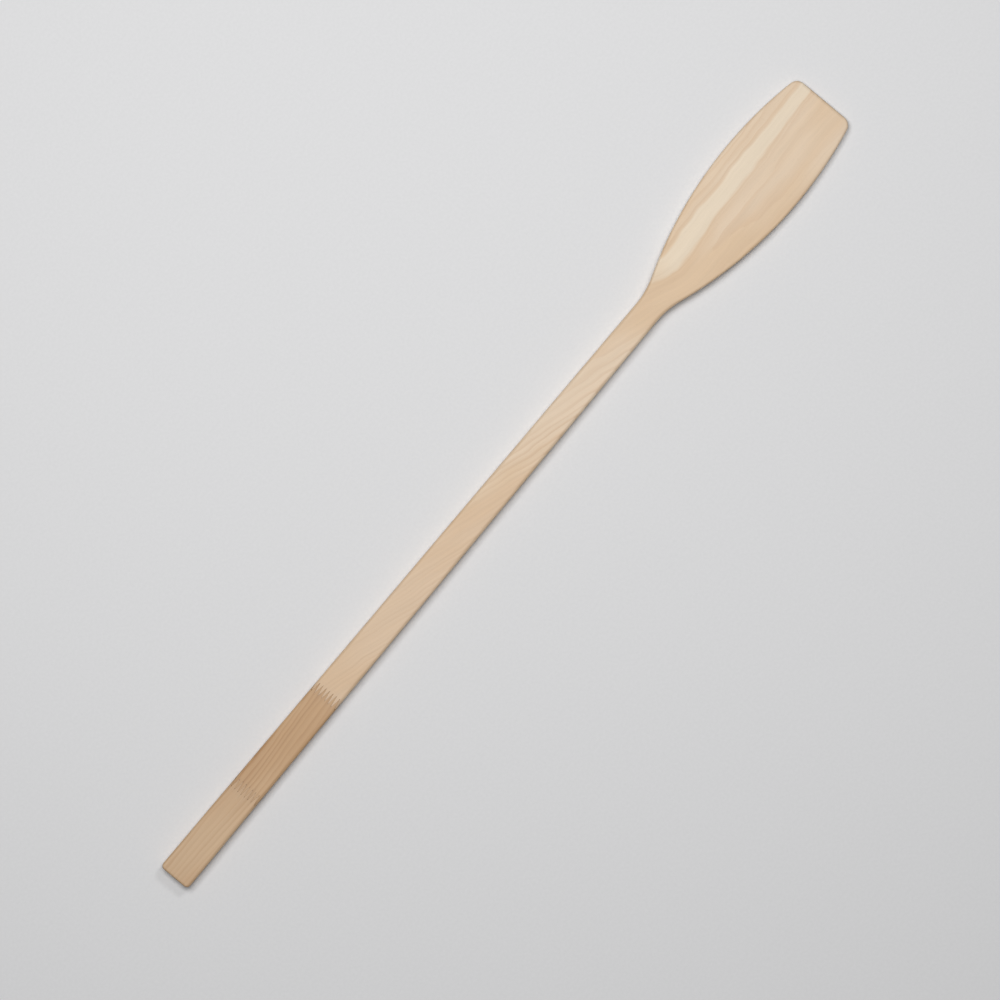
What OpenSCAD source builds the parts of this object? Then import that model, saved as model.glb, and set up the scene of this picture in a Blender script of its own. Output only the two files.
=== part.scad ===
// Long wooden stirring paddle, glued up end to end from three timbers.
// X runs along the paddle towards the blade tip, Y across it, Z up.
// The underside of the handle lies on Z = 0 and the middle of the length is X = 0.

/* [Overall] */
// Length from the sawn grip end to the blade tip, mm
overall_length = 900; // [700:10:1200]

/* [Handle] */
// Handle width at the grip end, mm
grip_width = 31.4; // [26:0.2:38]
// Handle width at the neck, just before the blade opens out, mm
neck_width = 24.4; // [20:0.1:26]
// Thickness of the handle, mm
handle_thickness = 16; // [12:0.5:22]
// Rounding of the handle's long edges, mm
handle_rounding = 3; // [1:0.5:5]
// Rounding of the edges round the sawn grip end, mm
grip_end_rounding = 1.8; // [0.5:0.1:3]
// Corner radius of the grip end seen from above, mm
grip_corner_radius = 4; // [3.5:0.5:8]

/* [Blade] */
// Blade width at its widest, mm
blade_width = 81; // [66:1:100]
// Distance from the tip to the widest part of the blade, mm
widest_from_tip = 85; // [70:1:120]
// Radius of the curved long side of the blade, mm
blade_side_radius = 390; // [300:5:500]
// Radius of the hollow curve between handle and blade, mm
neck_radius = 80; // [50:5:130]
// Corner radius at the tip seen from above, mm
tip_corner_radius = 9; // [5:1:20]
// Thickness of the blade at the tip, mm
tip_thickness = 7; // [6:0.5:11]
// Rounding of the blade's edges, mm
blade_rounding = 2.3; // [1:0.1:2.8]
// Length over which the faces bend from the flat handle into the blade's taper, mm
taper_blend = 60; // [20:5:120]

/* [Finger joints] */
// Distance from the grip end to the middle of the first joint, mm
end_joint_position = 100; // [60:1:150]
// Distance from the grip end to the middle of the second joint, mm
shaft_joint_position = 211; // [180:1:300]
// Length of the cut fingers, mm
finger_length = 10; // [6:0.5:16]
// Distance from one finger to the next, mm
finger_pitch = 3.8; // [3.2:0.1:6]
// Width of the blunt end of a finger, mm
finger_end_width = 0.6; // [0.4:0.1:1]
// Thickness of the cured glue between two fingers, mm
glue_film = 0.15; // [0.1:0.05:0.3]
// Glue filled gap in front of each finger end, mm
finger_end_gap = 0.5; // [0.2:0.1:1]

/* [Hidden] */
tip_x = overall_length / 2;
mid_z = handle_thickness / 2;

// Straight side of the handle, leaning in towards the neck
side_start = [-tip_x, grip_width / 2];
neck_aim = [tip_x - 2.9 * widest_from_tip, neck_width / 2];
side_run = (neck_aim - side_start) / norm(neck_aim - side_start);
side_out = [-side_run.y, side_run.x];

// Centre of the long side's arc
flank_centre = [tip_x - widest_from_tip, blade_width / 2 - blade_side_radius];

// Centre of the hollow neck arc, which touches both the handle side and the blade side
neck_reach = side_start + neck_radius * side_out - flank_centre;
neck_half = neck_reach * side_run;
neck_step = -neck_half - sqrt(pow(neck_half, 2) - neck_reach * neck_reach
    + pow(blade_side_radius + neck_radius, 2));
neck_centre = side_start + neck_radius * side_out + neck_step * side_run;
neck_start = side_start + neck_step * side_run;

// Centre of the tip corner, which touches the tip and the blade side
tip_corner_x = tip_x - tip_corner_radius;
tip_corner = [tip_corner_x, flank_centre.y
    + sqrt(pow(blade_side_radius - tip_corner_radius, 2) - pow(tip_corner_x - flank_centre.x, 2))];

// Centre of the grip corner, which touches the grip end and the handle side
grip_inner = side_start - grip_corner_radius * side_out;
grip_corner = grip_inner
    + side_run * (grip_corner_radius - tip_x - grip_inner.x) / side_run.x;

// Directions at which the arcs meet, degrees
tip_turn = bearing(tip_corner - flank_centre);
neck_turn = bearing(neck_centre - flank_centre);
side_turn = bearing(side_out);

corner_steps = 8;
flank_steps = 28;
neck_steps = 10;
rounding_steps = 5;

// Faces of the board, as a half thickness about the middle
taper_start = neck_start.x;
taper_slope = (handle_thickness - tip_thickness) / 2 / (tip_x - taper_start - taper_blend / 2);

// Fingers
finger_lean = (finger_pitch / 2 - finger_end_width) / finger_length;
film_across = glue_film * sqrt(1 + pow(finger_lean, 2));
finger_middle = finger_pitch / 4 - film_across / 2;
finger_root_half = finger_middle + finger_lean * (finger_length + finger_end_gap) / 2;
finger_end_half = finger_middle - finger_lean * (finger_length - finger_end_gap) / 2;
finger_count = ceil(grip_width / 2 / finger_pitch) + 1;

timber_end = [0.78, 0.64, 0.48];
timber_grip = [0.74, 0.58, 0.41];
timber_blade = [0.86, 0.74, 0.60];
glue_colour = [0.45, 0.31, 0.18];

function bearing(v) = atan2(v.y, v.x);

function spoke(a) = [cos(a), sin(a)];

// Half thickness of the board at x
function half_thickness(x) =
    let (past = max(0, x - taper_start))
    handle_thickness / 2 - taper_slope * (past < taper_blend
        ? pow(past, 2) / 2 / taper_blend
        : past - taper_blend / 2);

// Outline of one long side from tip to grip: place, outward direction, edge rounding
function outline_side() = concat(
    [for (i = [0 : corner_steps])
        let (d = spoke(tip_turn * i / corner_steps))
        [tip_corner + tip_corner_radius * d, d, blade_rounding]],
    [for (i = [1 : flank_steps])
        let (d = spoke(tip_turn + (neck_turn - tip_turn) * i / flank_steps))
        [flank_centre + blade_side_radius * d, d, blade_rounding]],
    [for (i = [1 : neck_steps])
        let (k = i / neck_steps, d = spoke(neck_turn + (side_turn - neck_turn) * k))
        [neck_centre - neck_radius * d, d,
            blade_rounding + (handle_rounding - blade_rounding) * k]],
    [for (i = [0 : corner_steps])
        let (k = i / corner_steps, d = spoke(side_turn + (180 - side_turn) * k))
        [grip_corner + grip_corner_radius * d, d,
            handle_rounding + (grip_end_rounding - handle_rounding) * k]]
);

// One point of the rounded edge, turned from the side wall (0) to the flat face (90)
function edge_point(p, turn, way) =
    let (at = p[0] - p[1] * p[2] * (1 - cos(turn)))
    [at.x, at.y, mid_z + way * (half_thickness(at.x) - p[2] * (1 - sin(turn)))];

// The whole board before it is cut into its three timbers
module board_blank() {
    side = outline_side();
    n = len(side);
    loop = concat(side, [for (i = [n - 1 : -1 : 0])
        let (p = side[i])
        [[p[0].x, -p[0].y], [p[1].x, -p[1].y], p[2]]]);
    m = len(loop);
    turns = [for (j = [0 : rounding_steps]) 90 - 90 * j / rounding_steps];
    rings = concat(
        [for (t = turns) [t, 1]],
        [for (j = [rounding_steps : -1 : 0]) [turns[j], -1]]);
    last = len(rings) - 1;
    points = [for (r = rings) for (p = loop) edge_point(p, r[0], r[1])];
    wall = [for (j = [0 : last - 1]) for (i = [0 : m - 1])
        let (a = j * m + i, b = j * m + (i + 1) % m)
        each [[a, b + m, b], [a, a + m, b + m]]];
    top = [for (i = [0 : n - 2])
        each [[i, i + 1, m - 1 - i], [i + 1, m - 2 - i, m - 1 - i]]];
    base = last * m;
    bottom = [for (t = top) [base + t[2], base + t[1], base + t[0]]];
    polyhedron(points = points, faces = concat(top, wall, bottom), convexity = 4);
}

// Row of fingers across the board; way 1 points them at the blade, -1 at the grip
function finger_row(joint_x, way) =
    let (root_x = joint_x - way * (finger_length + finger_end_gap) / 2,
        end_x = root_x + way * finger_length,
        shift = way > 0 ? 0 : finger_pitch / 2)
    [for (k = [-finger_count : finger_count])
        let (y = k * finger_pitch + shift)
        each [[root_x, y - finger_root_half], [end_x, y - finger_end_half],
            [end_x, y + finger_end_half], [root_x, y + finger_root_half]]];

function backwards(list) = [for (i = [len(list) - 1 : -1 : 0]) list[i]];

function reach_y() = (finger_count + 2) * finger_pitch;

// Everything on the grip side of a row of fingers
module grip_side(joint_x) {
    row = finger_row(joint_x, 1);
    board_prism(concat([[-tip_x - 1, -reach_y()], [row[0].x, -reach_y()]], row,
        [[row[0].x, reach_y()], [-tip_x - 1, reach_y()]]));
}

// Everything on the blade side of a row of fingers
module blade_side(joint_x) {
    row = finger_row(joint_x, -1);
    board_prism(concat([[tip_x + 1, -blade_width], [row[0].x, -blade_width]], row,
        [[row[0].x, blade_width], [tip_x + 1, blade_width]]));
}

module board_prism(outline) {
    translate([0, 0, -1])
        linear_extrude(height = handle_thickness + 2)
            polygon(outline);
}

// Cured glue between two rows of fingers
module joint_glue(joint_x) {
    color(glue_colour)
        intersection() {
            board_blank();
            board_prism(concat(finger_row(joint_x, 1), backwards(finger_row(joint_x, -1))));
        }
}

// Timber 1, the block at the grip end
module grip_end_block() {
    color(timber_end)
        intersection() {
            board_blank();
            grip_side(end_joint_position - tip_x);
        }
}

// Glue of the joint next to the grip end
module grip_joint_glue() {
    joint_glue(end_joint_position - tip_x);
}

// Timber 2, the block between the two joints
module grip_block() {
    color(timber_grip)
        intersection() {
            board_blank();
            blade_side(end_joint_position - tip_x);
            grip_side(shaft_joint_position - tip_x);
        }
}

// Glue of the joint between the grip and the long board
module shaft_joint_glue() {
    joint_glue(shaft_joint_position - tip_x);
}

// Timber 3, the long board with the rest of the handle and the blade
module blade_board() {
    color(timber_blade)
        intersection() {
            board_blank();
            blade_side(shaft_joint_position - tip_x);
        }
}

grip_end_block();
grip_joint_glue();
grip_block();
shaft_joint_glue();
blade_board();
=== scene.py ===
"""A long wooden stirring paddle, glued up from three finger-jointed timbers, on a pale studio floor.

Shapes are worked out in millimetres, in the row frame: X runs along the paddle towards the blade
tip, Y across it and Z up. They become metres when a mesh is made.
"""
import math

import bpy
import numpy as np
from mathutils import Matrix, Vector, noise


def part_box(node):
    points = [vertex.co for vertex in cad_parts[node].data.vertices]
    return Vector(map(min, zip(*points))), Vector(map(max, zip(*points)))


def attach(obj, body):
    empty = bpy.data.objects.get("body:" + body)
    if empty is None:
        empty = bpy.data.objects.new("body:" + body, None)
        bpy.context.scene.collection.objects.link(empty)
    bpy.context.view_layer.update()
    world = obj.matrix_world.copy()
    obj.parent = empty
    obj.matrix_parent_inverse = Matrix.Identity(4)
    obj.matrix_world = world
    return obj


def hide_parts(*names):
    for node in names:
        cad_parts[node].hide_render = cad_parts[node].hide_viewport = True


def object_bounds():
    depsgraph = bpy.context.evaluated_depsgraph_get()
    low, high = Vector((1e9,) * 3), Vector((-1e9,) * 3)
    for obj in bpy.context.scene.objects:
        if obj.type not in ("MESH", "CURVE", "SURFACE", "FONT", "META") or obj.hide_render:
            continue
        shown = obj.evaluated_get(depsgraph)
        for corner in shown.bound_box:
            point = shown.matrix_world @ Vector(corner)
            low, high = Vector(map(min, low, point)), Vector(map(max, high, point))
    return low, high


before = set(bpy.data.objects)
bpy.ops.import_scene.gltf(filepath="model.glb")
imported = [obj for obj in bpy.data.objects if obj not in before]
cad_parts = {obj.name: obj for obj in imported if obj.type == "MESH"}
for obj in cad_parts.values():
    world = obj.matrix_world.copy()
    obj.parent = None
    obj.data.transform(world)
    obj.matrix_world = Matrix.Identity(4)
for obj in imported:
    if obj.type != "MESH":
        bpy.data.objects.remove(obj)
CAD_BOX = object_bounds()

MM = 0.001

# Overall sizes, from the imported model
LENGTH = (CAD_BOX[1].x - CAD_BOX[0].x) / MM
BLADE_WIDTH = (CAD_BOX[1].y - CAD_BOX[0].y) / MM
THICKNESS = (CAD_BOX[1].z - CAD_BOX[0].z) / MM
GRIP_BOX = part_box("grip_end_block")
GRIP_WIDTH = (GRIP_BOX[1].y - GRIP_BOX[0].y) / MM

# Sizes that the model's boxes don't give, in millimetres
NECK_WIDTH = 24.4
WIDEST_FROM_TIP = 85
NECK_AIM_FROM_TIP = 2.9 * WIDEST_FROM_TIP
BLADE_SIDE_RADIUS = 390
NECK_RADIUS = 80
TIP_CORNER_RADIUS = 9
GRIP_CORNER_RADIUS = 4
TIP_THICKNESS = 7
TAPER_BLEND = 60
HANDLE_ROUNDING = 3
BLADE_ROUNDING = 2.3
GRIP_END_ROUNDING = 1.8
END_JOINT_POSITION = 100
SHAFT_JOINT_POSITION = 211
FINGER_LENGTH = 10
FINGER_PITCH = 3.8
FINGER_END_WIDTH = 0.6
GLUE_FILM = 0.15
FINGER_END_GAP = 0.5

# How far the glue's faces lie below the wood's
GLUE_SUNK = 0.04

TIP_X = LENGTH / 2
MID_Z = THICKNESS / 2
END_JOINT_X = END_JOINT_POSITION - TIP_X
SHAFT_JOINT_X = SHAFT_JOINT_POSITION - TIP_X

# How finely the meshes are divided
EDGE_STEPS = 8
WALL_ROWS = 3
CORNER_STEPS = 10
FLANK_STEPS = 44
NECK_STEPS = 14
STRAIGHT_STEP = 7.0
COLUMN_EASE = 70.0
SHARP_ANGLE = math.radians(40)

# How unevenly the timber was sanded by hand: shares of the rounding and of the thickness,
# and the lengths over which they change
EDGE_UNEVEN = 0.14
EDGE_WAVE = 46.0
SIDES_APART = 7.3
FACE_UNEVEN = 0.007
FACE_WAVE_X, FACE_WAVE_Y, FACE_WAVE_Z = 60, 22, 30

# Where the noise for the edges and for the faces is read, and what brings it to about -1 to 1
EDGE_NOISE_AT = 2.1
FACE_NOISE_AT = 4
EDGE_NOISE_GAIN = 1.6
FACE_NOISE_GAIN = 1.5

# Slope at which a face starts to show end grain, how far that takes to be full,
# and the slope at which the edge mask for wear and painted shade is full
END_GRAIN_FROM = 0.35
END_GRAIN_OVER = 0.5
EDGE_SHADE_AND_WEAR_FULL = 0.7


def spoke(angle):
    """Unit vector at an angle in radians."""
    return np.array([math.cos(angle), math.sin(angle)])


def bearing(v):
    return math.atan2(v[1], v[0])


class Outline:
    """The long side of the paddle: a straight handle, a hollow neck, a curved flank and two corners."""

    def __init__(self):
        start = np.array([-TIP_X, GRIP_WIDTH / 2])
        aim = np.array([TIP_X - NECK_AIM_FROM_TIP, NECK_WIDTH / 2])
        self.start = start
        self.run = (aim - start) / np.linalg.norm(aim - start)
        self.out = np.array([-self.run[1], self.run[0]])
        self.flank = np.array([TIP_X - WIDEST_FROM_TIP, BLADE_WIDTH / 2 - BLADE_SIDE_RADIUS])
        reach = start + NECK_RADIUS * self.out - self.flank
        half = reach @ self.run
        apart = BLADE_SIDE_RADIUS + NECK_RADIUS
        step = -half - math.sqrt(half ** 2 - reach @ reach + apart ** 2)
        self.neck = start + NECK_RADIUS * self.out + step * self.run
        self.neck_start = start + step * self.run
        corner_x = TIP_X - TIP_CORNER_RADIUS
        drop = math.sqrt((BLADE_SIDE_RADIUS - TIP_CORNER_RADIUS) ** 2 - (corner_x - self.flank[0]) ** 2)
        self.tip_corner = np.array([corner_x, self.flank[1] + drop])
        inner = start - GRIP_CORNER_RADIUS * self.out
        self.grip_corner = inner + self.run * (GRIP_CORNER_RADIUS - TIP_X - inner[0]) / self.run[0]
        self.grip_corner_start = self.grip_corner + GRIP_CORNER_RADIUS * self.out
        self.tip_turn = bearing(self.tip_corner - self.flank)
        self.neck_turn = bearing(self.neck - self.flank)
        self.side_turn = bearing(self.out)

    def blade_rims(self):
        """From the flat of the tip round the corner, along the flank and through the neck."""
        rims = []
        for k in np.linspace(0, 1, CORNER_STEPS + 1):
            d = spoke(self.tip_turn * k)
            rims.append((self.tip_corner + TIP_CORNER_RADIUS * d, d, BLADE_ROUNDING))
        for k in np.linspace(0, 1, FLANK_STEPS + 1)[1:]:
            d = spoke(self.tip_turn + (self.neck_turn - self.tip_turn) * k)
            rims.append((self.flank + BLADE_SIDE_RADIUS * d, d, BLADE_ROUNDING))
        for k in np.linspace(0, 1, NECK_STEPS + 1)[1:]:
            d = spoke(self.neck_turn + (self.side_turn - self.neck_turn) * k)
            rounding = BLADE_ROUNDING + (HANDLE_ROUNDING - BLADE_ROUNDING) * k
            rims.append((self.neck - NECK_RADIUS * d, d, rounding))
        return rims

    def straight_rims(self, from_x, to_x):
        """Along the straight side of the handle, both ends left out."""
        count = max(2, round(abs(to_x - from_x) / STRAIGHT_STEP))
        return [self.side_rim(from_x + (to_x - from_x) * k / count) for k in range(1, count)]

    def side_rim(self, x):
        return self.start + self.run * (x + TIP_X) / self.run[0], self.out, HANDLE_ROUNDING

    def grip_rims(self):
        """Round the corner of the sawn grip end, to where its flat begins."""
        rims = []
        for k in np.linspace(0, 1, CORNER_STEPS + 1):
            d = spoke(self.side_turn + (math.pi - self.side_turn) * k)
            rounding = HANDLE_ROUNDING + (GRIP_END_ROUNDING - HANDLE_ROUNDING) * k
            rims.append((self.grip_corner + GRIP_CORNER_RADIUS * d, d, rounding))
        return rims


outline = Outline()
TAPER_START = outline.neck_start[0]
TAPER_SLOPE = (THICKNESS - TIP_THICKNESS) / 2 / (TIP_X - TAPER_START - TAPER_BLEND / 2)


def half_thickness(x):
    """Half the board's thickness: even along the handle, thinning through the blade."""
    past = max(0.0, x - TAPER_START)
    bent = past ** 2 / 2 / TAPER_BLEND if past < TAPER_BLEND else past - TAPER_BLEND / 2
    return THICKNESS / 2 - TAPER_SLOPE * bent


# Finger joints

FINGER_LEAN = (FINGER_PITCH / 2 - FINGER_END_WIDTH) / FINGER_LENGTH
FINGER_MIDDLE = FINGER_PITCH / 4 - GLUE_FILM * math.hypot(1, FINGER_LEAN) / 2
FINGER_ROOT_HALF = FINGER_MIDDLE + FINGER_LEAN * (FINGER_LENGTH + FINGER_END_GAP) / 2
FINGER_END_HALF = FINGER_MIDDLE - FINGER_LEAN * (FINGER_LENGTH - FINGER_END_GAP) / 2
FINGERS_EACH_WAY = 8
CLEAR_OF_EDGE = 0.995


def finger_edge(joint_x, way, y):
    """X of a row of fingers at y; way 1 points them at the blade, -1 at the grip."""
    shift = 0 if way > 0 else FINGER_PITCH / 2
    off = abs((y - shift + FINGER_PITCH / 2) % FINGER_PITCH - FINGER_PITCH / 2)
    root_x = joint_x - way * (FINGER_LENGTH + FINGER_END_GAP) / 2
    past = (FINGER_ROOT_HALF - off) / (FINGER_ROOT_HALF - FINGER_END_HALF)
    return root_x + way * FINGER_LENGTH * min(1.0, max(0.0, past))


def finger_columns(joint_x, count=None):
    """Shares of the flat face's half width at which a joint's fingers turn, from + to -."""
    point, _, rounding = outline.side_rim(joint_x)
    flat = point[1] - rounding
    turns = set()
    for k in range(-FINGERS_EACH_WAY, FINGERS_EACH_WAY + 1):
        for centre in (k * FINGER_PITCH, (k + 0.5) * FINGER_PITCH):
            for off in (FINGER_ROOT_HALF, FINGER_END_HALF):
                turns.update((centre - off, centre + off))
    shares = [y / flat for y in turns if abs(y) < flat * CLEAR_OF_EDGE]
    shares.sort(reverse=True)
    while count and len(shares) < count:
        ends = [1.0] + shares + [-1.0]
        gaps = [a - b for a, b in zip(ends, ends[1:])]
        widest = gaps.index(max(gaps))
        shares.insert(widest, (ends[widest] + ends[widest + 1]) / 2)
    return shares


COLUMNS = max(len(finger_columns(x)) for x in (END_JOINT_X, SHAFT_JOINT_X))
EVEN_COLUMNS = [1 - 2 * (c + 1) / (COLUMNS + 1) for c in range(COLUMNS)]


def columns_at(x, joint_x):
    """A joint's columns near it, easing into evenly spaced ones along the timber."""
    k = min(1.0, abs(x - joint_x) / COLUMN_EASE)
    k = k * k * (3 - 2 * k)
    return [a + (b - a) * k for a, b in zip(finger_columns(joint_x, COLUMNS), EVEN_COLUMNS)]


# Meshes

def wander(x, side):
    """Smooth random value from about -1 to 1 along one edge of the paddle."""
    return noise.noise(Vector((x / EDGE_WAVE, side * SIDES_APART, EDGE_NOISE_AT))) * EDGE_NOISE_GAIN


def edge_round(rim, side, turn, sunk=0.0):
    """Place on the rounded edge, and how far the face has dropped there."""
    point, normal, rounding = rim
    rounding *= 1 + EDGE_UNEVEN * min(1.0, wander(point[0], side))
    back = rounding * (1 - math.cos(turn)) + sunk
    x = point[0] - normal[0] * back
    y = side * (point[1] - normal[1] * back)
    return x, y, rounding * (1 - math.sin(turn)) + sunk


def between(upper, lower):
    """Points evenly spaced down an upright wall, both ends left out."""
    a, b = np.array(upper), np.array(lower)
    return [tuple(a + (b - a) * k / (WALL_ROWS + 1)) for k in range(1, WALL_ROWS + 1)]


class Section:
    """One closed loop of points round the timber, from the + edge over the top and back below."""

    def __init__(self, rim, shares, edge=None, sunk=0.0):
        turns = [math.pi / 2 * k / EDGE_STEPS for k in range(EDGE_STEPS + 1)]
        near = [edge_round(rim, 1, t, sunk) for t in turns]
        far = [edge_round(rim, -1, t, sunk) for t in reversed(turns)]
        flat_x, near_y = near[-1][0], near[-1][1]
        far_y = far[0][1]
        middle, reach = (near_y + far_y) / 2, (near_y - far_y) / 2
        across = near + [(flat_x, middle + reach * s, sunk) for s in shares] + far
        if edge:
            across = [(edge(y), y, drop) for x, y, drop in across]
        self.top = [(x, y, MID_Z + half_thickness(x) - drop) for x, y, drop in across]
        self.bottom = [(x, y, MID_Z - half_thickness(x) + drop) for x, y, drop in across]

    def wall(self, column):
        return between(self.top[column], self.bottom[column])

    def loop(self):
        return self.top + self.wall(-1) + self.bottom[::-1] + self.wall(0)[::-1]


def uneven(p):
    """Draws a point in a little towards the middle of the board, as sanding by hand does."""
    x, y, z = p
    place_in = Vector((x / FACE_WAVE_X, y / FACE_WAVE_Y, z / FACE_WAVE_Z + FACE_NOISE_AT))
    lift = 0.5 + 0.5 * max(-1.0, min(1.0, noise.noise(place_in) * FACE_NOISE_GAIN))
    return x, y * (1 - FACE_UNEVEN / 3 * lift), MID_Z + (z - MID_Z) * (1 - FACE_UNEVEN * lift)


class Timber:
    """A mesh lofted through sections, closed at each end by fingers or by a rounded cut."""

    def __init__(self, sections):
        self.points = []
        self.faces = []
        self.sections = sections
        self.columns = len(sections[0].top)
        self.loops = [self.add(s.loop()) for s in sections]
        size = len(self.loops[0])
        for a, b in zip(self.loops, self.loops[1:]):
            for k in range(size):
                n = (k + 1) % size
                self.faces.append((a[k], a[n], b[n], b[k]))

    def add(self, points):
        first = len(self.points)
        self.points.extend(points)
        return list(range(first, len(self.points)))

    def parts(self, loop):
        """A loop's top row and bottom row from + to -, and its two walls from the top down."""
        c = self.columns
        top = loop[:c]
        far_wall = loop[c:c + WALL_ROWS]
        bottom = loop[c + WALL_ROWS:2 * c + WALL_ROWS][::-1]
        near_wall = loop[2 * c + WALL_ROWS:][::-1]
        return top, bottom, near_wall, far_wall

    def close_fingers(self, end):
        """Upright faces from the top row to the bottom row; end 0 is the first section, -1 the last."""
        top, bottom, near_wall, far_wall = self.parts(self.loops[end])
        for c in range(self.columns - 1):
            face = [top[c], top[c + 1], bottom[c + 1], bottom[c]]
            if c == 0:
                face = face + near_wall[::-1]
            if c == self.columns - 2:
                face = face[:2] + far_wall + face[2:]
            self.faces.append(tuple(face[::-1] if end == 0 else face))

    def close_cut(self, end):
        """The rounded end of the board; end 0 is the first section, -1 the last."""
        section = self.sections[end]
        top, bottom, near_wall, far_wall = self.parts(self.loops[end])
        inner = self.columns - 1 - EDGE_STEPS
        grid = [top[EDGE_STEPS::-1] + near_wall + bottom[:EDGE_STEPS + 1]]
        for c in range(EDGE_STEPS + 1, inner):
            y = section.top[c][1]
            share = 1 - (c - EDGE_STEPS) / (inner - EDGE_STEPS)
            above = [self.cut_point(section, k, share, y) for k in range(EDGE_STEPS - 1, -1, -1)]
            below = [(p[0], p[1], 2 * MID_Z - p[2]) for p in reversed(above)]
            column = self.add(above + between(above[-1], below[0]) + below)
            grid.append([top[c]] + column + [bottom[c]])
        grid.append(top[inner:] + far_wall + bottom[inner:][::-1])
        for a, b in zip(grid, grid[1:]):
            for k in range(len(a) - 1):
                face = (a[k], b[k], b[k + 1], a[k + 1])
                self.faces.append(face if end == 0 else face[::-1])

    def cut_point(self, section, k, share, y):
        """A point on the rounded edge of the end, between the two corners' own points."""
        near, far = section.top[k], section.top[self.columns - 1 - k]
        return far[0] + (near[0] - far[0]) * share, y, far[2] + (near[2] - far[2]) * share

    def mesh(self, name):
        data = bpy.data.meshes.new(name)
        places = [tuple(v * MM for v in uneven(p)) for p in self.points]
        data.from_pydata(places, [], self.faces)
        data.polygons.foreach_set("use_smooth", [True] * len(data.polygons))
        data.set_sharp_from_angle(angle=SHARP_ANGLE)
        data.validate()
        paint_masks(data)
        return data


def paint_masks(data):
    """Stores, per point, how far the surface faces along the grain and how near it is to an edge."""
    count = len(data.vertices)
    normals = np.empty(count * 3)
    data.vertices.foreach_get("normal", normals)
    normals = np.abs(normals.reshape(-1, 3))
    end_grain = np.clip((normals[:, 0] - END_GRAIN_FROM) / END_GRAIN_OVER, 0, 1)
    # The edge mask marks the rounded edges: it makes them smoother, as wear, and darker, as painted shade.
    turned = np.minimum(np.hypot(normals[:, 0], normals[:, 1]), normals[:, 2])
    edge_wear_and_shade = np.clip(turned / EDGE_SHADE_AND_WEAR_FULL, 0, 1)
    for name, values in (("end_grain", end_grain), ("edge_wear_and_shade", edge_wear_and_shade)):
        data.attributes.new(name, "FLOAT", "POINT").data.foreach_set("value", values)


def place(name, data, material):
    piece = bpy.data.objects.new(name, data)
    bpy.context.scene.collection.objects.link(piece)
    data.materials.append(material)
    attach(piece, "root")
    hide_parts(name.replace("_look", ""))


def finger_section(joint_x, way, sunk=0.0):
    return Section(outline.side_rim(joint_x), finger_columns(joint_x, COLUMNS),
                   lambda y: finger_edge(joint_x, way, y), sunk)


def blade_board_mesh():
    joint = SHAFT_JOINT_X
    rims = outline.blade_rims()
    rims += outline.straight_rims(TAPER_START, joint + FINGER_LENGTH)
    rims.append(outline.side_rim(joint + FINGER_LENGTH))
    sections = [Section(r, columns_at(r[0][0], joint)) for r in rims]
    sections.append(finger_section(joint, -1))
    timber = Timber(sections)
    timber.close_cut(0)
    timber.close_fingers(-1)
    return timber.mesh("blade_board_look")


def grip_block_mesh():
    start, end = SHAFT_JOINT_X - FINGER_LENGTH, END_JOINT_X + FINGER_LENGTH
    rims = [outline.side_rim(start)] + outline.straight_rims(start, end) + [outline.side_rim(end)]
    middle = (SHAFT_JOINT_X + END_JOINT_X) / 2
    sections = [finger_section(SHAFT_JOINT_X, 1)]
    for r in rims:
        x = r[0][0]
        sections.append(Section(r, columns_at(x, SHAFT_JOINT_X if x > middle else END_JOINT_X)))
    sections.append(finger_section(END_JOINT_X, -1))
    timber = Timber(sections)
    timber.close_fingers(0)
    timber.close_fingers(-1)
    return timber.mesh("grip_block_look")


def grip_end_block_mesh():
    joint = END_JOINT_X
    start, end = joint - FINGER_LENGTH, outline.grip_corner_start[0]
    rims = [outline.side_rim(start)] + outline.straight_rims(start, end) + outline.grip_rims()
    sections = [finger_section(joint, 1)]
    sections += [Section(r, columns_at(r[0][0], joint)) for r in rims]
    timber = Timber(sections)
    timber.close_fingers(0)
    timber.close_cut(-1)
    return timber.mesh("grip_end_block_look")


def glue_mesh(name, joint_x):
    timber = Timber([finger_section(joint_x, -1, GLUE_SUNK), finger_section(joint_x, 1, GLUE_SUNK)])
    timber.close_fingers(0)
    timber.close_fingers(-1)
    return timber.mesh(name)


# Materials

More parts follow.
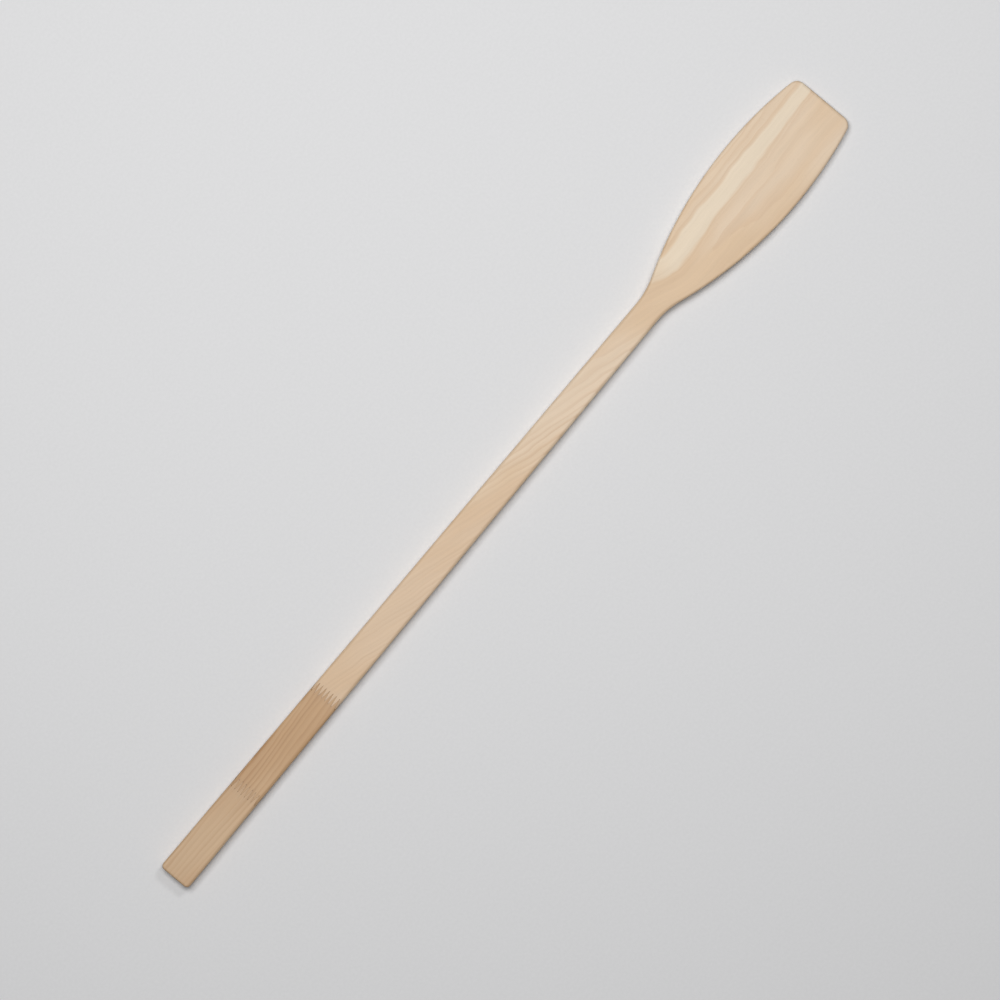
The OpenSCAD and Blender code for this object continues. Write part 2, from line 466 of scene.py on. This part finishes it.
class Graph:
    """Short names for the shader nodes used here. Values may be numbers or sockets."""

    def __init__(self, name):
        self.material = bpy.data.materials.new(name)
        self.material.use_nodes = True
        self.tree = self.material.node_tree
        self.shader = self.tree.nodes["Principled BSDF"]

    def feed(self, socket, value):
        if isinstance(value, bpy.types.NodeSocket):
            self.tree.links.new(value, socket)
        elif value is not None:
            socket.default_value = value

    def node(self, kind, inputs=(), **settings):
        made = self.tree.nodes.new(kind)
        for key, value in settings.items():
            setattr(made, key, value)
        for key, value in dict(inputs).items():
            self.feed(made.inputs[key], value)
        return made

    def math(self, operation, a, b=None, c=None):
        inputs = {k: v for k, v in enumerate((a, b, c)) if v is not None}
        return self.node("ShaderNodeMath", inputs, operation=operation).outputs[0]

    def add(self, a, b):
        return self.math("ADD", a, b)

    def times(self, a, b):
        return self.math("MULTIPLY", a, b)

    def soft(self, value, low, high, to_low=0.0, to_high=1.0):
        """Smooth step of value from low to high, which may fall instead of rise."""
        inputs = {"Value": value, "From Min": low, "From Max": high, "To Min": to_low, "To Max": to_high}
        made = self.node("ShaderNodeMapRange", inputs, interpolation_type="SMOOTHSTEP")
        return made.outputs["Result"]

    def band(self, value, start, end, fade):
        """One between start and end, fading to nothing on both sides."""
        rise = self.soft(value, start - fade, start + fade)
        fall = self.soft(value, end - fade, end + fade, 1.0, 0.0)
        return self.times(rise, fall)

    def vector(self, x, y, z):
        return self.node("ShaderNodeCombineXYZ", {0: x, 1: y, 2: z}).outputs[0]

    def noise(self, vector, scale=1.0, detail=2.0):
        inputs = {"Vector": vector, "Scale": scale, "Detail": detail}
        return self.node("ShaderNodeTexNoise", inputs).outputs["Fac"]

    def swing(self, noise_value, amount):
        """Noise about zero, from -amount to amount."""
        return self.times(self.add(noise_value, -0.5), 2 * amount)

    def mix(self, share, a, b):
        made = self.node("ShaderNodeMix", data_type="RGBA")
        self.feed(made.inputs["Factor"], share)
        self.feed(made.inputs[6], a)
        self.feed(made.inputs[7], b)
        return made.outputs[2]

    def shade(self, colour, factor):
        """Colour times a grey factor."""
        made = self.node("ShaderNodeVectorMath", {0: colour}, operation="SCALE")
        self.feed(made.inputs["Scale"], factor)
        return made.outputs[0]

    def mask(self, name):
        return self.node("ShaderNodeAttribute", attribute_name=name).outputs["Fac"]

    def finish(self, colour, roughness, height, depth):
        self.feed(self.shader.inputs["Base Color"], colour)
        self.feed(self.shader.inputs["Roughness"], roughness)
        bump = self.node("ShaderNodeBump", {"Height": height, "Distance": depth, "Strength": 1.0})
        self.feed(self.shader.inputs["Normal"], bump.outputs["Normal"])
        return self.material


def linear(red, green, blue):
    """A colour written in screen values of 0 to 255, as Blender's linear colour."""
    def one(v):
        v = v / 255
        return v / 12.92 if v <= 0.04045 else ((v + 0.055) / 1.055) ** 2.4
    return (one(red), one(green), one(blue), 1.0)


class Wood(Graph):
    """Pale close-grained hardwood: growth rings round a pith line, fibres, flecks and end grain."""

    def __init__(self, name, seed, pith, ring_width, lean=0.0):
        super().__init__(name)
        coordinates = self.node("ShaderNodeTexCoord").outputs["Object"]
        scaled = self.node("ShaderNodeVectorMath", {0: coordinates, 1: (1 / MM,) * 3}, operation="MULTIPLY")
        axes = self.node("ShaderNodeSeparateXYZ", {0: scaled.outputs[0]})
        self.x, self.y, self.z = axes.outputs
        self.seed = seed
        self.ring_width = ring_width
        self.lean = lean
        self.pith = pith
        self.across = self.add(self.y, self.drift())
        self.radius = self.ring_radius()

    def drift(self):
        """How far the grain has wandered sideways at each place along the timber."""
        return self.times(self.x, self.lean)

    def ring_radius(self):
        waver = self.noise(self.vector(self.times(self.x, 0.011), self.times(self.across, 0.05),
                                       self.add(self.times(self.z, 0.05), self.seed)), detail=3.0)
        side = self.math("SUBTRACT", self.across, self.pith[0])
        height = self.math("SUBTRACT", self.z, self.pith[1])
        squares = self.add(self.times(side, side), self.times(height, height))
        return self.add(self.math("SQRT", squares), self.swing(waver, 3.2))

    def fibre(self, along, across, detail=2.0, shift=0.0):
        """Noise drawn out along the grain; the two lengths are its grain size in millimetres."""
        place_in = self.vector(self.add(self.times(self.x, 1 / along), self.seed + shift),
                               self.times(self.across, 1 / across), self.times(self.z, 1 / across))
        return self.noise(place_in, detail=detail)

    def rings(self):
        """Darker late wood at the end of each year's growth, some years stronger than others."""
        years = self.times(self.radius, 1 / self.ring_width)
        year = self.math("FRACT", years)
        grown = self.soft(year, 0.35, 0.93)
        stop = self.soft(year, 0.94, 1.0, 1.0, 0.0)
        place_in = self.vector(self.times(years, 0.31), self.times(self.x, 0.004), self.seed)
        strength = self.noise(place_in, detail=1.0)
        return self.times(self.times(grown, stop), self.soft(strength, 0.35, 0.7, 0.25, 1.0))

    def flecks(self):
        """Short dark dashes of the rays, about a millimetre long."""
        place_in = self.vector(self.times(self.x, 0.42), self.times(self.across, 2.1),
                               self.times(self.z, 2.1))
        cells = self.node("ShaderNodeTexVoronoi", {"Vector": place_in, "Scale": 1.0, "Randomness": 1.0})
        near = self.soft(cells.outputs["Distance"], 0.10, 0.26, 1.0, 0.0)
        draw = self.node("ShaderNodeSeparateColor", {0: cells.outputs["Color"]}).outputs[0]
        chosen = self.math("GREATER_THAN", draw, 0.62)
        return self.times(near, chosen)

    def dress(self, pale, dark, warm, ring_strength):
        """Colour, roughness and relief from the grain, with painted shade on the rounded edges and the
        marks that a subclass adds.
        """
        streak = self.fibre(95, 3.4, 3.0)
        fine = self.fibre(16, 0.55, 2.0, 11.0)
        broad = self.noise(self.vector(self.times(self.x, 0.008), self.times(self.across, 0.03),
                                       self.add(self.times(self.z, 0.03), self.seed + 5)), detail=2.0)
        rings, flecks = self.rings(), self.flecks()
        end_grain, wear_and_shade = self.mask("end_grain"), self.mask("edge_wear_and_shade")
        colour = self.mix(self.soft(broad, 0.3, 0.7), pale, warm)
        colour = self.mix(self.times(rings, ring_strength), colour, dark)
        colour = self.marks(colour)
        tone = self.add(1.0, self.swing(streak, 0.075))
        tone = self.add(tone, self.swing(fine, 0.05))
        tone = self.times(tone, self.add(1.0, self.times(flecks, -0.13)))
        tone = self.times(tone, self.add(1.0, self.times(end_grain, -0.2)))
        # Painted shade: the rounded edges are drawn 3 per cent darker.
        tone = self.times(tone, self.add(1.0, self.times(wear_and_shade, -0.03)))
        colour = self.shade(colour, tone)
        roughness = self.add(0.56, self.swing(fine, 0.10))
        # Wear: the rounded edges are a little smoother.
        roughness = self.add(roughness, self.times(wear_and_shade, -0.08))
        roughness = self.add(roughness, self.times(end_grain, 0.12))
        height = self.add(self.times(fine, 0.6), self.times(streak, 0.5))
        height = self.add(height, self.times(flecks, -0.5))
        height = self.add(height, self.times(rings, -0.25))
        return self.finish(colour, roughness, height, 0.05 * MM)

    def marks(self, colour):
        return colour


class BladeWood(Wood):
    """The long board: its grain runs out across the handle, then straight along the blade."""

    # Where the handle's slanting grain turns straight, and its slope before that
    STRAIGHT_FROM = 250.0
    HANDLE_SLOPE = -0.3
    # Sideways step of the grain at the neck, and where along X it happens
    NECK_STEP = 5.0
    NECK_STEP_FROM, NECK_STEP_TO = 212.0, 252.0
    # Ring radii of the pale band in the blade, of the line beside it and of the early wood
    PALE_BAND = (64.0, 70.5)
    PALE_LINE = (63.0, 63.5)
    EARLY_WOOD = (86.0, 91.0)
    # Where along X the band's marks fade in, the line a little sooner than the band
    MARKS_FROM, LINE_FULL, BAND_FULL = 205.0, 230.0, 260.0

    def drift(self):
        handle = self.math("MAXIMUM", self.math("SUBTRACT", self.STRAIGHT_FROM, self.x), 0.0)
        neck = self.soft(self.x, self.NECK_STEP_FROM, self.NECK_STEP_TO, self.NECK_STEP, 0.0)
        place_in = self.vector(self.times(self.x, 0.035), self.seed, 0.0)
        wave = self.swing(self.noise(place_in, detail=1.0), 2.5)
        slanted = self.math("MULTIPLY_ADD", handle, self.HANDLE_SLOPE, wave)
        return self.add(slanted, self.times(neck, -1.0))

    def marks(self, colour):
        light = self.band(self.radius, *self.PALE_BAND, fade=0.7)
        light = self.times(light, self.soft(self.x, self.MARKS_FROM, self.BAND_FULL))
        colour = self.mix(self.times(light, 0.8), colour, linear(232, 216, 192))
        line = self.band(self.radius, *self.PALE_LINE, fade=0.5)
        line = self.times(line, self.soft(self.x, self.MARKS_FROM, self.LINE_FULL))
        colour = self.mix(self.times(line, 0.35), colour, linear(205, 170, 132))
        early = self.soft(self.radius, *self.EARLY_WOOD)
        return self.mix(self.times(early, 0.5), colour, linear(214, 182, 148))


def end_wood():
    wood = Wood("end_block_wood", seed=3.7, pith=(34.0, -30.0), lean=0.03, ring_width=3.1)
    return wood.dress(linear(208, 177, 142), linear(184, 145, 106), linear(199, 164, 127), 0.5)


def grip_wood():
    wood = Wood("grip_block_wood", seed=19.2, pith=(-22.0, -38.0), lean=-0.05, ring_width=2.4)
    return wood.dress(linear(205, 170, 131), linear(168, 124, 84), linear(196, 158, 117), 0.6)


def blade_wood():
    wood = BladeWood("blade_board_wood", seed=41.0, pith=(-15.0, -45.0), ring_width=3.3)
    return wood.dress(linear(226, 203, 176), linear(204, 169, 133), linear(220, 191, 157), 0.45)


def glue():
    graph = Graph("cured_glue")
    coordinates = graph.node("ShaderNodeTexCoord").outputs["Object"]
    clots = graph.noise(coordinates, scale=900.0, detail=2.0)
    colour = graph.mix(graph.soft(clots, 0.35, 0.65), linear(120, 84, 52), linear(158, 116, 76))
    roughness = graph.soft(clots, 0.3, 0.7, 0.35, 0.5)
    return graph.finish(colour, roughness, clots, 0.03 * MM)


# The pieces

place("grip_end_block_look", grip_end_block_mesh(), end_wood())
place("grip_block_look", grip_block_mesh(), grip_wood())
place("blade_board_look", blade_board_mesh(), blade_wood())
GLUE = glue()
place("grip_joint_glue_look", glue_mesh("grip_joint_glue_look", END_JOINT_X), GLUE)
place("shaft_joint_glue_look", glue_mesh("shaft_joint_glue_look", SHAFT_JOINT_X), GLUE)

# The studio

# Where the photograph's right and top lie on the floor
PHOTO_RIGHT = Vector((0.64147, -0.76715, 0))
PHOTO_UP = Vector((0.76715, 0.64147, 0))
# Width of the view in metres, widened a little because the paddle's outline lies above the floor
FRAME_WIDTH = 0.8876 * 1.0045
FRAME_CENTRE = PHOTO_RIGHT * 0.00065 - PHOTO_UP * 0.00997
CAMERA_HEIGHT = 3.0
SENSOR = 36.0
FAR_LIMIT = 50
FLOOR_SIZE = 14.0
AMBIENT = 0.05


def aim(obj, towards):
    obj.rotation_mode = "QUATERNION"
    obj.rotation_quaternion = (towards - obj.location).to_track_quat("-Z", "Y")


def make_camera():
    camera = bpy.data.objects.new("camera", bpy.data.cameras.new("camera"))
    bpy.context.scene.collection.objects.link(camera)
    camera.data.sensor_width = SENSOR
    camera.data.lens = SENSOR * CAMERA_HEIGHT / FRAME_WIDTH
    camera.data.clip_end = FAR_LIMIT
    turn = Matrix((PHOTO_RIGHT, PHOTO_UP, Vector((0, 0, 1)))).transposed().to_4x4()
    camera.matrix_world = Matrix.Translation(FRAME_CENTRE + Vector((0, 0, CAMERA_HEIGHT))) @ turn
    bpy.context.scene.camera = camera


def floor_material():
    graph = Graph("studio_floor")
    coordinates = graph.node("ShaderNodeTexCoord").outputs["Object"]
    grain = graph.noise(coordinates, scale=350.0, detail=3.0)
    colour = graph.mix(graph.soft(grain, 0.2, 0.8), linear(225, 225, 226), linear(228, 228, 229))
    graph.shader.inputs["Specular IOR Level"].default_value = 0.2
    return graph.finish(colour, 0.8, grain, 0.02 * MM)


def make_floor():
    half = FLOOR_SIZE / 2
    data = bpy.data.meshes.new("floor")
    corners = [(-half, -half, 0), (half, -half, 0), (half, half, 0), (-half, half, 0)]
    data.from_pydata(corners, [], [(0, 1, 2, 3)])
    data.materials.append(floor_material())
    floor = bpy.data.objects.new("floor", data)
    bpy.context.scene.collection.objects.link(floor)


def make_lamp(name, place_at, size, power, target=None):
    """A soft lamp; without a target it faces straight down. Its size is along X and along Y."""
    lamp = bpy.data.objects.new(name, bpy.data.lights.new(name, "AREA"))
    bpy.context.scene.collection.objects.link(lamp)
    lamp.data.shape = "RECTANGLE"
    lamp.data.size, lamp.data.size_y = size
    lamp.data.energy = power
    lamp.location = place_at
    if target is not None:
        aim(lamp, Vector(target))


def make_world():
    world = bpy.data.worlds.new("studio")
    bpy.context.scene.world = world
    world.use_nodes = True
    background = world.node_tree.nodes["Background"]
    background.inputs["Color"].default_value = (1.0, 1.0, 1.0, 1.0)
    background.inputs["Strength"].default_value = AMBIENT


make_camera()
make_floor()
make_lamp("overhead", place_at=(0.13, 0.52, 2.6), size=(1.0, 1.7), power=56.0)
make_lamp("side", place_at=(1.82, 0.1, 2.6), size=(0.6, 0.6), power=16.0, target=(0, 0, 0))
make_world()
bpy.context.scene.view_settings.view_transform = "Standard"
